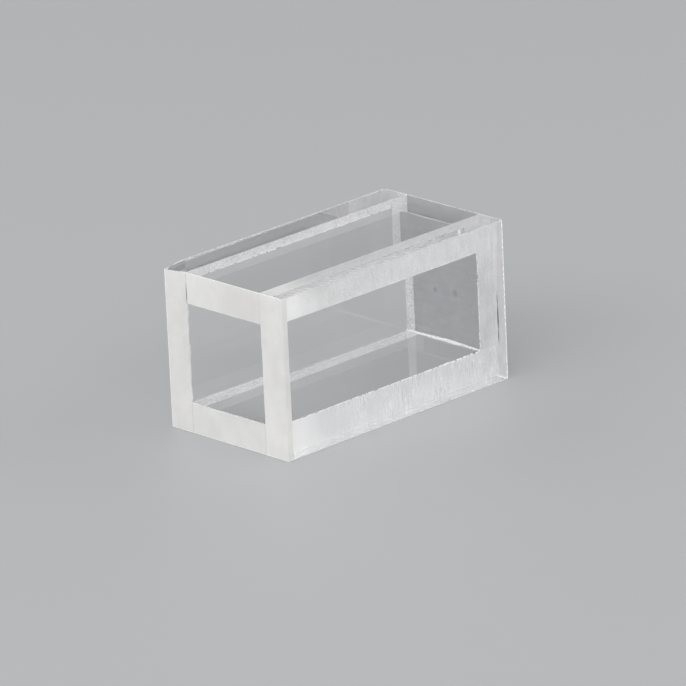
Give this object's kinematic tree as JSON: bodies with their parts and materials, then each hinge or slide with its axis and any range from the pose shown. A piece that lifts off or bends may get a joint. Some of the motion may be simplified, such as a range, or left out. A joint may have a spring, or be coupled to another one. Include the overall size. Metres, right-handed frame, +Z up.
{
  "type": "cuvette",
  "caption": "Rectangular optical cell of bonded glass plates, open at one end, with two polished windows and a blind square well.",
  "frame": {"origin": "middle of the underside of the cell as it lies on its lower side plate", "axes": "+X along the well from the mouth to the base, +Y from the front window to the back window, +Z up"},
  "size_m": [0.03, 0.016, 0.0163],
  "materials": {
    "window_glass": "polished clear faces, fine-ground ends",
    "frame_glass": "polished inside and outside, ground white where it is bonded and at its ends"
  },
  "bodies": {
    "root": {"front_window": "window_glass", "back_window": "window_glass", "upper_side_plate": "frame_glass", "lower_side_plate": "frame_glass", "base_plate": "frame_glass"}
  },
  "joints": []
}
